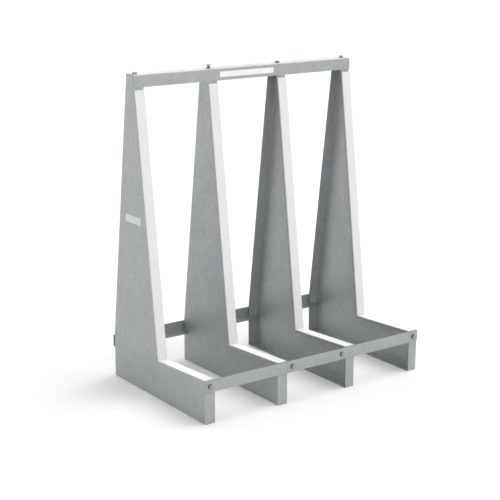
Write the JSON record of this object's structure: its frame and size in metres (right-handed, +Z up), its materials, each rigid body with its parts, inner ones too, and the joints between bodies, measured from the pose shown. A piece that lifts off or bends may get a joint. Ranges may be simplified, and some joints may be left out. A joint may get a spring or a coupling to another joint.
{
  "type": "leaning rack for sheet goods",
  "caption": "One-sided galvanised rack that boards and sheets stand on and lean against: folded L-shaped side frames with plastic liners, tied by angle rails.",
  "frame": {"origin": "on the floor under the middle of the rack's bounding box", "axes": "+X along the rack, from the left end frame to the right one seen from the loading side; -Y is the loading side, where the boards stand; +Z up"},
  "size_m": [1.266, 0.824, 1.522],
  "materials": {
    "galvanised_sheet": "galvanised, faint spangle",
    "white_plastic": "satin",
    "zinc_fastener": "dark zinc plate"
  },
  "bodies": {
    "root": {"end_frame_left": "galvanised_sheet", "inner_frame_left": "galvanised_sheet", "inner_frame_right": "galvanised_sheet", "end_frame_right": "galvanised_sheet", "upright_liner_1": "white_plastic", "upright_liner_2": "white_plastic", "upright_liner_3": "white_plastic", "upright_liner_4": "white_plastic", "foot_liner_1": "white_plastic", "foot_liner_2": "white_plastic", "foot_liner_3": "white_plastic", "foot_liner_4": "white_plastic", "top_rail": "galvanised_sheet", "front_rail": "galvanised_sheet", "back_rail": "galvanised_sheet", "top_bolts": "zinc_fastener", "top_washers": "zinc_fastener", "top_nuts": "zinc_fastener", "front_bolts": "zinc_fastener", "front_washers": "zinc_fastener", "front_nuts": "zinc_fastener"}
  },
  "joints": []
}
